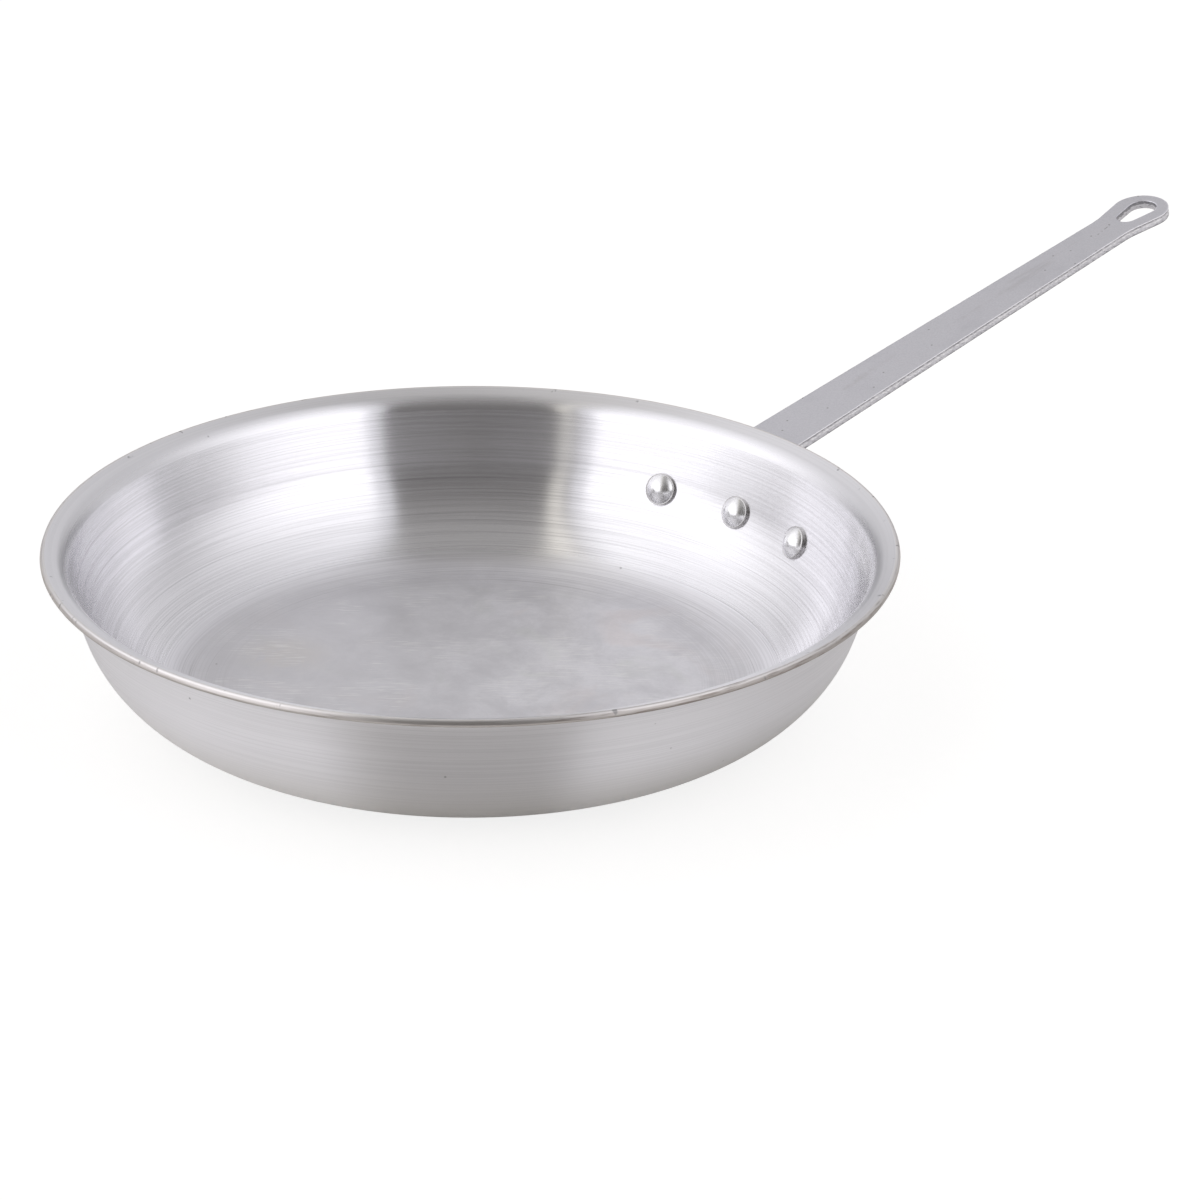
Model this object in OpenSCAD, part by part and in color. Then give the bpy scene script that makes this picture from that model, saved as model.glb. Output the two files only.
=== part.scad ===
// Open frying pan of spun aluminium sheet with a riveted steel bar handle, in millimetres.
// The origin is the centre of the base's underside, +Z is up and the handle runs along +X.

/* [Pan] */
// Diameter over the edge of the lip
rim_d = 355.6; // [320:0.1:400]
// Height from the underside of the base to the top of the lip
pan_h = 69; // [60:0.5:80]
// Thickness of the sheet
wall_t = 3; // [2:0.1:4]
// Slope of the straight wall above the horizontal, in degrees
wall_slope = 72; // [66:0.5:78]
// Outer radius of the corner between base and wall
corner_r = 56.5; // [40:0.5:60]

/* [Lip] */
// Reach of the lip from the outer line of the wall to the rim edge
lip_w = 8.3; // [7:0.1:12]
// Slope of the lip above the horizontal, in degrees
lip_slope = 21; // [14:1:28]
// Radius under the lip, where the wall turns outwards
lip_bend_r = 5; // [3:0.5:7]
// Rounding of the two corners of the trimmed rim edge
rim_edge_r = 0.9; // [0.2:0.1:0.9]

/* [Handle bar] */
// Thickness of the handle's bar and of its flange
bar_t = 4.3; // [3:0.1:6]
// Width of the bar where it passes the rim edge
bar_root_w = 28.4; // [22:0.1:34]
// Width of the bar at the neck, where the eye begins
bar_neck_w = 20.4; // [16:0.1:24]
// Length along the bar from the rim edge to the neck
neck_l = 237; // [150:1:280]
// Slope of the bar above the horizontal, in degrees
bar_slope = 11.7; // [6:0.1:16]
// Gap between the rim edge and the top face of the bar
lip_gap = 0.7; // [0.3:0.1:3]
// Inside radius of the bend between flange and bar
bar_bend_r = 6; // [4:0.5:10]

/* [Handle flange] */
// Radius of the flange's round ends, about the outer rivets
lobe_r = 12; // [9:0.5:16]
// Radius of the hollow shoulders between the flange and the bar
shoulder_r = 20; // [14:1:26]

/* [Hanging eye] */
// Radius of the eye's round end
eye_r = 13.6; // [12:0.1:16]
// Length from the neck to the centre of the eye's round end
eye_l = 20.1; // [18:0.1:30]
// Radius that eases the bar's edges into the eye
neck_r = 45; // [20:1:60]
// Radius of the hole's wide end
hole_wide_r = 6.7; // [5:0.1:8]
// Radius of the hole's narrow end
hole_narrow_r = 4.8; // [3:0.1:5]
// Distance between the centres of the hole's two ends
hole_l = 11.6; // [8:0.1:14]
// Distance of the hole's wide end past the centre of the eye
hole_shift = 1.6; // [0:0.1:2]

/* [Rivets] */
// Height of the rivet centres on the inner face of the wall
rivet_h = 36; // [30:0.5:46]
// Distance between neighbouring rivets, straight across the inner face
rivet_pitch = 42; // [34:0.5:48]
// Diameter of the rivet heads inside the pan
head_d = 14.4; // [12:0.1:18]
// Height of the straight edge of a head
head_edge_h = 1.7; // [1.2:0.1:2.5]
// Height of the dome of a head
dome_h = 3.1; // [1.5:0.1:4]
// Diameter of the rivet shanks
shank_d = 6.4; // [4:0.1:8]
// Diameter of the formed tails outside the flange
tail_d = 11; // [9:0.1:16]
// Height of the formed tails above the flange
tail_h = 2.6; // [1.5:0.1:4]
// Bevel around the formed tails
tail_bevel = 1.1; // [0.3:0.1:1.4]
// Gap between a shank and its hole, on the radius
shank_gap = 0.05; // [0.02:0.01:0.3]

/* [Hidden] */
$fn = 180;

// Steps along the arcs of the section
corner_steps = 30;
bend_steps = 12;
edge_steps = 5;
outline_steps = 24;

// Small overlaps that let one form run into the next
overlap = 1;
// The flat bar lies this far under the crown of its rolled root, which follows the round wall
crown_gap = 0.06;

// The finish shown for each piece
aluminium = [0.80, 0.80, 0.81];
plated_steel = [0.64, 0.64, 0.67];
polished = [0.86, 0.86, 0.87];

rim_r = rim_d / 2;
head_r = head_d / 2;
tail_r = tail_d / 2;

// Unit vector at an angle, and the one square to it on its right
function along(a) = [cos(a), sin(a)];
function right_of(a) = [sin(a), -cos(a)];
// Points on an arc from angle a to angle b
function arc(c, r, a, b, steps) = [for (i = [0 : steps]) c + r * along(a + (b - a) * i / steps)];
function mirrored(points) = [for (i = [len(points) - 1 : -1 : 0]) [-points[i][0], points[i][1]]];

// Centres of the two small arcs that round the rim edge: the lower one first
edge_span = wall_t - 2 * rim_edge_r;
edge_low = [rim_r - rim_edge_r, pan_h - rim_edge_r - edge_span * cos(lip_slope)];
edge_high = edge_low - edge_span * right_of(lip_slope);
// Where the outer line of the wall would meet the underside of the lip
lip_under = edge_low + rim_edge_r * right_of(lip_slope);
wall_top_r = rim_r - lip_w;
wall_top = [wall_top_r, lip_under[1] - (lip_under[0] - wall_top_r) * tan(lip_slope)];
// Centre of the arc under the lip
lip_turn = wall_slope - lip_slope;
lip_centre = wall_top - lip_bend_r * tan(lip_turn / 2) * along(wall_slope)
    + lip_bend_r * right_of(wall_slope);
// Radius of the flat base, and the centre of the corner arc above its edge
base_r = wall_top_r
    + (cos(wall_slope) * (corner_r - wall_top[1]) - corner_r) / sin(wall_slope);
corner_centre = [base_r, corner_r];

// One face of the sheet from the axis to the lip, at a depth measured in from the outer face
function sheet_face(depth) = concat(
    [[0, depth]],
    arc(corner_centre, corner_r - depth, -90, wall_slope - 90, corner_steps),
    arc(lip_centre, lip_bend_r + depth, wall_slope + 90, lip_slope + 90, bend_steps));
rim_edge = concat(
    arc(edge_low, rim_edge_r, lip_slope - 90, lip_slope, edge_steps),
    arc(edge_high, rim_edge_r, lip_slope, lip_slope + 90, edge_steps));
inner_face = sheet_face(wall_t);
sheet_section = concat(
    sheet_face(0),
    rim_edge,
    [for (i = [len(inner_face) - 1 : -1 : 0]) inner_face[i]]);

// A face of the corner and the straight wall alone, up past the rim
function wall_face(depth) = concat(
    [[0, depth]],
    arc(corner_centre, corner_r - depth, -90, wall_slope - 90, corner_steps),
    [wall_top - depth * right_of(wall_slope) + (pan_h / sin(wall_slope)) * along(wall_slope)]);

// Radius of the inner face and the tilt of its normal at the height of the rivets
inner_corner_r = corner_r - wall_t;
corner_end_h = corner_r - inner_corner_r * cos(wall_slope);
rivet_in_corner = rivet_h < corner_end_h;
rivet_tilt = rivet_in_corner ? asin((corner_r - rivet_h) / inner_corner_r) : 90 - wall_slope;
rivet_r = rivet_in_corner
    ? base_r + inner_corner_r * cos(rivet_tilt)
    : wall_top_r - wall_t * sin(wall_slope)
        - (wall_top[1] + wall_t * cos(wall_slope) - rivet_h) / tan(wall_slope);
rivet_turn = 2 * asin(rivet_pitch / (2 * rivet_r));
stack_t = wall_t + bar_t;

// Height of the bar's top face at the rim edge
bar_top = edge_low[1] - rim_edge_r - lip_gap;
// Where the outer line of the wall would meet the top face of the bar
bar_corner_r = (bar_top - wall_top[1] + wall_top_r * tan(wall_slope) - rim_r * tan(bar_slope))
    / (tan(wall_slope) - tan(bar_slope));
bar_corner = [bar_corner_r, bar_top + (bar_corner_r - rim_r) * tan(bar_slope)];
// Centre of the bend between flange and bar
bar_turn = wall_slope - bar_slope;
bend_out_r = bar_bend_r + bar_t;
bend_centre = bar_corner - bend_out_r * tan(bar_turn / 2) * along(wall_slope)
    + bend_out_r * right_of(wall_slope);
bend_end = bend_centre - bend_out_r * right_of(bar_slope);
// The rolled root's straight run, from the end of the bend
root_run = 2.4;

// Section of the handle's rolled root: up the wall, round the bend and out under the lip
root_section = concat(
    arc(corner_centre, corner_r, -90 + wall_slope / 2, wall_slope - 90, corner_steps / 2),
    arc(bend_centre, bend_out_r, wall_slope + 90, bar_slope + 90, bend_steps),
    [bend_end + root_run * along(bar_slope),
     bend_end + root_run * along(bar_slope) + bar_t * right_of(bar_slope)],
    arc(bend_centre, bar_bend_r, bar_slope + 90, wall_slope + 90, bend_steps),
    arc(corner_centre, corner_r + bar_t, wall_slope - 90, -90 + wall_slope / 2, corner_steps / 2));

// Outline of the flange, seen along the handle: Y across and Z up
flange_mid = [rivet_r, rivet_h] + (wall_t + bar_t / 2) * [cos(rivet_tilt), -sin(rivet_tilt)];
lobe = [flange_mid[0] * sin(rivet_turn), flange_mid[1]];
shoulder_y = bar_root_w / 2 + shoulder_r;
shoulder = [shoulder_y, lobe[1] + sqrt(pow(shoulder_r + lobe_r, 2) - pow(lobe[0] - shoulder_y, 2))];
meet_angle = atan2(shoulder[1] - lobe[1], shoulder[0] - lobe[0]);
flange_half = concat(
    arc(lobe, lobe_r, -90, meet_angle, outline_steps),
    arc(shoulder, shoulder_r, meet_angle + 180, 180, outline_steps),
    [[bar_root_w / 2, max(shoulder[1], pan_h) + overlap]]);

// Plan of the whole handle, seen square to the bar: X along the bar from the rim edge.
// Behind the rim edge it opens out, hollow like the shoulders, and leaves the flange uncut.
bar_start = (bend_end[0] - rim_r) / cos(bar_slope) + overlap / 2;
bar_taper = atan2((bar_root_w - bar_neck_w) / 2, neck_l);
neck = [neck_l, bar_neck_w / 2];
eye = [neck_l + eye_l, 0];
neck_span = norm(neck - eye);
eye_touch_angle = 180 - atan2(neck[1], eye_l) - acos(eye_r / neck_span);
flare = eye_touch_angle - 90;
neck_ease = neck_r * tan((flare + bar_taper) / 2);
neck_centre = neck - neck_ease * along(-bar_taper) - neck_r * right_of(-bar_taper);
flange_reach = lobe[0] + lobe_r + overlap;
plan_side = concat(
    [[-rim_r, flange_reach], [0, flange_reach], [0, shoulder_y]],
    arc([0, shoulder_y], shoulder_r, 180, 270, outline_steps),
    arc(neck_centre, neck_r, -bar_taper - 90, flare - 90, bend_steps),
    [eye + eye_r * along(eye_touch_angle)]);
plan_outline = concat(
    plan_side,
    [for (i = [len(plan_side) - 1 : -1 : 0]) [plan_side[i][0], -plan_side[i][1]]]);

// The teardrop hole's straight sides touch both of its round ends
hole_wide = eye + [hole_shift, 0];
hole_narrow = hole_wide - [hole_l, 0];
hole_lean = 90 + asin((hole_wide_r - hole_narrow_r) / hole_l);

module revolve_fill(face) {
    rotate_extrude() polygon(concat(face, [[0, face[len(face) - 1][1]]]));
}

// Places its children on the inner face at a rivet: Z points into the pan, along the rivet
module at_rivet(index) {
    rotate([0, 0, index * rivet_turn])
        translate([rivet_r, 0, rivet_h])
            rotate([0, rivet_tilt - 90, 0])
                children();
}

module rivet_holes() {
    for (index = [-1 : 1])
        at_rivet(index)
            translate([0, 0, -stack_t - 2 * tail_h])
                cylinder(h = stack_t + 4 * tail_h, r = shank_d / 2 + shank_gap);
}

module pan_body() {
    color(aluminium)
        difference() {
            rotate_extrude() polygon(sheet_section);
            rivet_holes();
        }
}

// The flange and the bend, turned about the pan's axis so that they fit its round wall
module handle_root() {
    intersection() {
        rotate([0, 0, -60]) rotate_extrude(angle = 120) polygon(root_section);
        rotate([90, 0, 90]) linear_extrude(rim_r + bar_t)
            polygon(concat(flange_half, mirrored(flange_half)));
    }
}

// Puts its children in the plane of the bar's top face, with X along the bar from the rim edge
module in_bar_plane() {
    translate([rim_r, 0, bar_top]) rotate([0, -bar_slope, 0]) children();
}

module bar_slab() {
    in_bar_plane()
        translate([bar_start, -shoulder_y / 2, -bar_t - crown_gap])
            cube([eye[0] + eye_r + overlap - bar_start, shoulder_y, bar_t]);
}

// Upright solids with the outline of the whole handle, and with that of its teardrop hole
module handle_plan() {
    in_bar_plane()
        translate([0, 0, -rim_r]) {
            linear_extrude(rim_r + bar_t) polygon(plan_outline);
            translate(eye) cylinder(h = rim_r + bar_t, r = eye_r);
        }
}

module hanging_hole() {
    in_bar_plane()
        translate([0, 0, -2 * bar_t]) {
            translate(hole_wide) cylinder(h = 3 * bar_t, r = hole_wide_r);
            translate(hole_narrow) cylinder(h = 3 * bar_t, r = hole_narrow_r);
            linear_extrude(3 * bar_t)
                polygon([
                    hole_wide + hole_wide_r * along(hole_lean),
                    hole_narrow + hole_narrow_r * along(hole_lean),
                    hole_narrow + hole_narrow_r * along(-hole_lean),
                    hole_wide + hole_wide_r * along(-hole_lean)]);
        }
}

module handle() {
    color(plated_steel)
        difference() {
            intersection() {
                union() {
                    handle_root();
                    bar_slab();
                }
                handle_plan();
            }
            hanging_hole();
            rivet_holes();
        }
}

// A domed head seated on the wall, a shank through wall and flange, and a formed tail outside
module rivet(index) {
    dome_r = (head_r * head_r + dome_h * dome_h) / (2 * dome_h);
    color(polished)
        union() {
            intersection() {
                at_rivet(index)
                    intersection() {
                        translate([0, 0, -wall_t / 2])
                            cylinder(h = wall_t / 2 + head_edge_h + dome_h, r = head_r);
                        translate([0, 0, head_edge_h + dome_h - dome_r]) sphere(dome_r);
                    }
                revolve_fill(wall_face(wall_t));
            }
            at_rivet(index)
                translate([0, 0, -stack_t - overlap])
                    cylinder(h = stack_t + 2 * overlap, d = shank_d);
            difference() {
                at_rivet(index)
                    rotate([180, 0, 0])
                        translate([0, 0, stack_t - bar_t / 2]) {
                            cylinder(h = bar_t / 2 + tail_h - tail_bevel, r = tail_r);
                            translate([0, 0, bar_t / 2 + tail_h - tail_bevel])
                                cylinder(h = tail_bevel, r1 = tail_r, r2 = tail_r - tail_bevel);
                        }
                revolve_fill(wall_face(-bar_t));
            }
        }
}

// Left and right are as seen from inside the pan, facing the handle
module rivet_left() { rivet(1); }
module rivet_middle() { rivet(0); }
module rivet_right() { rivet(-1); }

pan_body();
handle();
rivet_left();
rivet_middle();
rivet_right();
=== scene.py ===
import math

import bpy
import numpy as np
from mathutils import Matrix


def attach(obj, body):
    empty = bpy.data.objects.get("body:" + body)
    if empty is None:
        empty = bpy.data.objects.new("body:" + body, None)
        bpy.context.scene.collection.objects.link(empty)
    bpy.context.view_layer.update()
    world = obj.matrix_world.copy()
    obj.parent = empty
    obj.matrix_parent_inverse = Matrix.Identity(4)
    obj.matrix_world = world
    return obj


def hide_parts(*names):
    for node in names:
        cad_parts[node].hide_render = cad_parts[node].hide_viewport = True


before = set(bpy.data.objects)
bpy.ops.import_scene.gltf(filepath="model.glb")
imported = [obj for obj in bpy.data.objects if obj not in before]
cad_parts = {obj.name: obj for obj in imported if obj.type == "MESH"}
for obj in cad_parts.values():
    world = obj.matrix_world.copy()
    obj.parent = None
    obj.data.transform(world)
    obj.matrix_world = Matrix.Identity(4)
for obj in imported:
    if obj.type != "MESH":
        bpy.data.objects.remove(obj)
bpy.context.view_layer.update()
MM = 0.001


# Camera and studio: a long lens well above the rim, a white table and background, two soft
# boxes beside the camera and the dark gap between them, which the bright metal mirrors.
CAMERA_PLACE = (-1.0207, -1.1405, 0.7149)
CAMERA_TURN = math.radians(-43.835)
CAMERA_DROP = math.radians(23.78)
CAMERA_ROLL = math.radians(0.61)
LENS_MM = 120
SENSOR_MM = 36
# The pan sees the camera in this direction
TOWARDS_CAMERA = math.atan2(CAMERA_PLACE[1], CAMERA_PLACE[0])


def camera_axes():
    """Right, up and back of a camera that looks down by its drop, is rolled and turned about Z."""
    right = np.array([math.cos(CAMERA_ROLL), math.sin(CAMERA_ROLL) * math.sin(CAMERA_DROP),
                      math.sin(CAMERA_ROLL) * math.cos(CAMERA_DROP)])
    ahead = np.array([0, math.cos(CAMERA_DROP), -math.sin(CAMERA_DROP)])
    turn = np.array([[math.cos(CAMERA_TURN), -math.sin(CAMERA_TURN), 0],
                     [math.sin(CAMERA_TURN), math.cos(CAMERA_TURN), 0], [0, 0, 1]])
    return turn @ right, turn @ np.cross(right, ahead), -turn @ ahead


def placed(obj, place, axes):
    """Puts an object at a place with its X, Y and Z along three unit vectors."""
    matrix = np.eye(4)
    matrix[:3, :3] = np.array(axes).T
    matrix[:3, 3] = place
    obj.matrix_world = Matrix(matrix.tolist())
    bpy.context.scene.collection.objects.link(obj)
    return obj


camera_data = bpy.data.cameras.new("camera")
camera_data.lens = LENS_MM
camera_data.sensor_width = SENSOR_MM
camera_data.clip_start, camera_data.clip_end = 0.05, 50
bpy.context.scene.camera = placed(bpy.data.objects.new("camera", camera_data),
                                  CAMERA_PLACE, camera_axes())
bpy.context.scene.view_settings.view_transform = "Standard"


class Wire:
    """An output socket in a node tree. Its operators add Math nodes, and add() any other node."""

    def __init__(self, tree, socket=None):
        self.tree, self.socket = tree, socket

    def add(self, kind, settings=None, values=None, out=0):
        """Adds a node of a kind, applies its settings and fills its inputs, by number or name."""
        made = self.tree.nodes.new("ShaderNode" + kind)
        for name, value in (settings or {}).items():
            setattr(made, name, value)
        for key, value in (values or {}).items():
            socket = made.inputs[key]
            if isinstance(value, Wire):
                self.tree.links.new(value.socket, socket)
            elif socket.type == "RGBA":
                socket.default_value = (*value, 1)
            else:
                socket.default_value = value
        return Wire(self.tree, made.outputs[out] if made.outputs else None)

    def math(self, operation, *others):
        return self.add("Math", {"operation": operation}, {0: self, **dict(enumerate(others, 1))})

    def __add__(self, other):
        return self.math("ADD", other)

    def __sub__(self, other):
        return self.math("SUBTRACT", other)

    def __rsub__(self, other):
        return self.add("Math", {"operation": "SUBTRACT"}, {0: other, 1: self})

    def __mul__(self, other):
        return self.math("MULTIPLY", other)

    def split(self):
        """The three parts of a vector."""
        made = self.add("SeparateXYZ", {}, {0: self})
        return [Wire(self.tree, part) for part in made.socket.node.outputs]

    def step(self, low, high):
        """Rises smoothly from 0 at low to 1 at high."""
        return self.add("MapRange", {"interpolation_type": "SMOOTHSTEP"},
                        {0: self, 1: low, 2: high})

    def tint(self, first, second):
        """The first colour where this is 0 and the second where it is 1."""
        return self.add("Mix", {"data_type": "RGBA"}, {0: self, 6: first, 7: second}, 2)


def new_tree(holder):
    """Empties the node tree of a material or world and returns a Wire that starts in it."""
    holder.use_nodes = True
    holder.node_tree.nodes.clear()
    return Wire(holder.node_tree)


def mesh_object(name, points, faces, attributes=None):
    """A smooth mesh object at the origin from an array of points in metres and lists of faces."""
    data = bpy.data.meshes.new(name)
    data.from_pydata(points.tolist(), [], [f for part in faces for f in part.tolist()])
    for key, values in (attributes or {}).items():
        attribute = data.attributes.new(key, "FLOAT", "POINT")
        attribute.data.foreach_set("value", np.asarray(values, np.float32))
    data.polygons.foreach_set("use_smooth", np.full(len(data.polygons), True))
    data.update()
    obj = bpy.data.objects.new(name, data)
    bpy.context.scene.collection.objects.link(obj)
    return obj


def grid_faces(table, wrap=False, flip=False):
    """Quads over a table of point numbers: (i, j), (i+1, j), (i+1, j+1), (i, j+1).
    A wrapped table is closed in j, and a flipped one has its quads turned over."""
    ahead = np.roll(table, -1, axis=1)
    cut = slice(None) if wrap else slice(0, -1)
    corners = [table[:-1, cut], table[1:, cut], ahead[1:, cut], ahead[:-1, cut]]
    quads = np.stack([c.ravel() for c in corners], 1)
    return quads[:, ::-1] if flip else quads


# The sky is white to the camera. The metal mirrors the studio: soft boxes to both sides of the
# camera, which arch over the pan and are dimmer at the top, the dark gap between them, which
# narrows as it rises, and a dark edge low on the far side. Outward from the gap come a pale flap
# and its frame, on the left alone, and then the soft boxes' hem.
SKY = (0.685, 0.677, 0.695)
SOFT_BOX = (1.6, 1.585, 1.63)
SOFT_BOX_TOP = (1.15, 1.14, 1.17)
FAR_EDGE = (0.14, 0.14, 0.15)
HEM = (0.90, 0.895, 0.93)
FRAME = (0.45, 0.44, 0.44)
FLAP_LOW = (0.66, 0.64, 0.595)
FLAP_HIGH = (0.98, 0.945, 0.87)
GAP_LOW = (0.155, 0.149, 0.146)
GAP_HIGH = (0.405, 0.395, 0.39)
GAP_HALF_WIDTH = 0.48
GAP_NARROWS = 0.16
GAP_LEAN = 0.08
# Where each strip ends, in unit lengths past the gap, and how far it is drawn in on the right
FLAP_END = (0.055, 0.065)
FRAME_END = (0.090, 0.097)
FRAME_CUT = 0.2
HEM_END = (0.150, 0.160)
HEM_CUT = 0.08
world = bpy.data.worlds.new("studio")
bpy.context.scene.world = world
start = new_tree(world)
way = start.add("Mapping", {"vector_type": "POINT"},
                {0: start.add("TexCoord"), "Rotation": (0, 0, -TOWARDS_CAMERA)})
forward, sideways, up = way.split()
lift = up.math("ARCTAN2", forward)
past_gap = ((sideways - lift.step(1.4, 2.6) * GAP_LEAN).math("ABSOLUTE")
            - (GAP_HALF_WIDTH - lift * GAP_NARROWS))
on_right = sideways.step(-0.05, 0.05)
box_reach = ((forward + up * 0.5 - on_right * 0.55).step(-0.8, 0.35)
             * (up - on_right * 0.18).step(-0.22, 0.05))
mirrored = box_reach.tint(SKY, up.step(0.35, 0.95).tint(SOFT_BOX, SOFT_BOX_TOP))
far_edge = up.math("ABSOLUTE").step(0.35, 0.05) * forward.step(-0.55, -0.9)
mirrored = far_edge.tint(mirrored, FAR_EDGE)
mirrored = (past_gap + on_right * HEM_CUT).step(*HEM_END).tint(HEM, mirrored)
flap = past_gap.step(*FLAP_END).tint(lift.step(0.2, 1.2).tint(FLAP_LOW, FLAP_HIGH), FRAME)
mirrored = (past_gap + on_right * FRAME_CUT).step(*FRAME_END).tint(flap, mirrored)
mirrored = past_gap.step(-0.02, 0.02).tint(lift.step(0.4, 1.7).tint(GAP_LOW, GAP_HIGH), mirrored)
light = start.add("LightPath", out="Is Camera Ray").tint(mirrored, (1, 1, 1))
background = start.add("Background", {}, {"Color": light, "Strength": 1.0})
start.add("OutputWorld", {}, {"Surface": background})

# The table: pale and plain. The camera sees it as white, but for the pan's soft shadow on it
TABLE_PAINT = (0.90, 0.885, 0.855)
TABLE_RADIUS = 9
TABLE_SIDES = 96
TABLE_GAP = 0.0004
TABLE_GLOW = 0.7
TABLE_GLOW_STRENGTH = 1.18
rim_angles = np.linspace(0, 2 * math.pi, TABLE_SIDES, endpoint=False)
table_points = np.stack([TABLE_RADIUS * np.cos(rim_angles), TABLE_RADIUS * np.sin(rim_angles),
                         np.full(TABLE_SIDES, -TABLE_GAP)], 1)
table = mesh_object("table", table_points, [np.arange(TABLE_SIDES)[None]])
table_look = bpy.data.materials.new("table")
start = new_tree(table_look)
seen = start.add("LightPath", out="Is Camera Ray") * TABLE_GLOW
paint = start.add("BsdfDiffuse", {}, {"Color": TABLE_PAINT})
glow = start.add("Emission", {}, {"Color": (1, 1, 1), "Strength": TABLE_GLOW_STRENGTH})
mixed = start.add("MixShader", {}, {0: seen, 1: paint, 2: glow})
start.add("OutputMaterial", {}, {"Surface": mixed})
table.data.materials.append(table_look)


# Pan body: one disc of aluminium sheet, spun over a former into a floor, a wall and a flared lip,
# then brushed on the lathe and trimmed. The floor keeps the satin, cloudy skin of the sheet.
RIM_R = 177.8
PAN_H = 69
WALL_T = 3
WALL_SLOPE = math.radians(72)
CORNER_R = 56.5
LIP_W = 8.3
LIP_SLOPE = math.radians(21)
LIP_BEND_R = 5
FLARE_R = 9.5
RIM_EDGE_R = 0.9
QUARTER = math.pi / 2
PAN_TURNS = 300
RIPPLE_MM = 0.001


def along(angle):
    return np.array([math.cos(angle), math.sin(angle)])


def right_of(angle):
    return np.array([math.sin(angle), -math.cos(angle)])


def arc(centre, radius, first, last, count):
    """Points centre + radius * (cos a, sin a) for count angles from first to last."""
    angles = np.linspace(first, last, count)
    return np.asarray(centre) + radius * np.stack([np.cos(angles), np.sin(angles)], 1)


def line(first, last, count):
    """Points on a straight line, without its two ends."""
    share = np.linspace(0, 1, count + 2)[1:-1, None]
    return np.asarray(first) * (1 - share) + np.asarray(last) * share


edge_span = WALL_T - 2 * RIM_EDGE_R
edge_low = np.array([RIM_R - RIM_EDGE_R, PAN_H - RIM_EDGE_R - edge_span * math.cos(LIP_SLOPE)])
edge_high = edge_low - edge_span * right_of(LIP_SLOPE)
lip_under = edge_low + RIM_EDGE_R * right_of(LIP_SLOPE)
wall_top = np.array([RIM_R - LIP_W,
                     lip_under[1] - (lip_under[0] - RIM_R + LIP_W) * math.tan(LIP_SLOPE)])
lip_centre = (wall_top - LIP_BEND_R * math.tan((WALL_SLOPE - LIP_SLOPE) / 2) * along(WALL_SLOPE)
              + LIP_BEND_R * right_of(WALL_SLOPE))
base_r = (wall_top[0]
          + (math.cos(WALL_SLOPE) * (CORNER_R - wall_top[1]) - CORNER_R) / math.sin(WALL_SLOPE))
corner_centre = np.array([base_r, CORNER_R])

# The section in order: floor, inner corner, wall, bend, lip, rim edge, and back under to the base
inner_corner = arc(corner_centre, CORNER_R - WALL_T, -QUARTER, WALL_SLOPE - QUARTER, 56)
flare_half = (WALL_SLOPE - LIP_SLOPE) / 2
flare_centre = (lip_centre - (FLARE_R - LIP_BEND_R - WALL_T) / math.cos(flare_half)
                * along(LIP_SLOPE + flare_half + QUARTER))
inner_bend = arc(flare_centre, FLARE_R, WALL_SLOPE + QUARTER, LIP_SLOPE + QUARTER, 36)
edge_top = arc(edge_high, RIM_EDGE_R, LIP_SLOPE + QUARTER, LIP_SLOPE, 6)
edge_bottom = arc(edge_low, RIM_EDGE_R, LIP_SLOPE, LIP_SLOPE - QUARTER, 6)
outer_bend = arc(lip_centre, LIP_BEND_R, LIP_SLOPE + QUARTER, WALL_SLOPE + QUARTER, 14)
outer_corner = arc(corner_centre, CORNER_R, WALL_SLOPE - QUARTER, -QUARTER, 50)
section_parts = [
    np.array([[0, WALL_T]]), line([0, WALL_T], inner_corner[0], 26), inner_corner,
    line(inner_corner[-1], inner_bend[0], 42), inner_bend,
    line(inner_bend[-1], edge_top[0], 8), edge_top,
    line(edge_top[-1], edge_bottom[0], 3), edge_bottom,
    line(edge_bottom[-1], outer_bend[0], 6), outer_bend,
    line(outer_bend[-1], outer_corner[0], 30), outer_corner,
    line(outer_corner[-1], [0, 0], 8), np.array([[0, 0]])]
section = np.concatenate(section_parts)
steps = np.linalg.norm(np.diff(section, axis=0), axis=1)
section_run = np.concatenate([[0], np.cumsum(steps)])
part_ends = section_run[np.cumsum([len(p) for p in section_parts]) - 1]


def lathe(points, count, runs):
    """Turns a section about Z: point (i, j) is section i at angle 2 pi j / count, and its ends are
    poles. Returns the points, the faces and each point's run along the section, in metres."""
    angles = np.linspace(0, 2 * math.pi, count, endpoint=False)
    ring = np.stack([np.cos(angles), np.sin(angles), np.zeros(count)], 1)
    middle = points[1:-1]
    body = middle[:, 0, None, None] * ring[None] + middle[:, 1, None, None] * np.array([0, 0, 1])
    ends = np.array([[0, 0, points[0, 1]], [0, 0, points[-1, 1]]])
    table = np.arange(len(middle) * count).reshape(len(middle), count)
    first, last = len(middle) * count, len(middle) * count + 1
    fan_in = np.stack([np.full(count, first), table[0], np.roll(table[0], -1)], 1)
    fan_out = np.stack([table[-1], np.full(count, last), np.roll(table[-1], -1)], 1)
    run = np.concatenate([np.repeat(runs[1:-1], count), [runs[0], runs[-1]]])
    return (np.concatenate([body.reshape(-1, 3), ends]) * MM,
            [grid_faces(table, wrap=True), fan_in, fan_out], run * MM)


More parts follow.
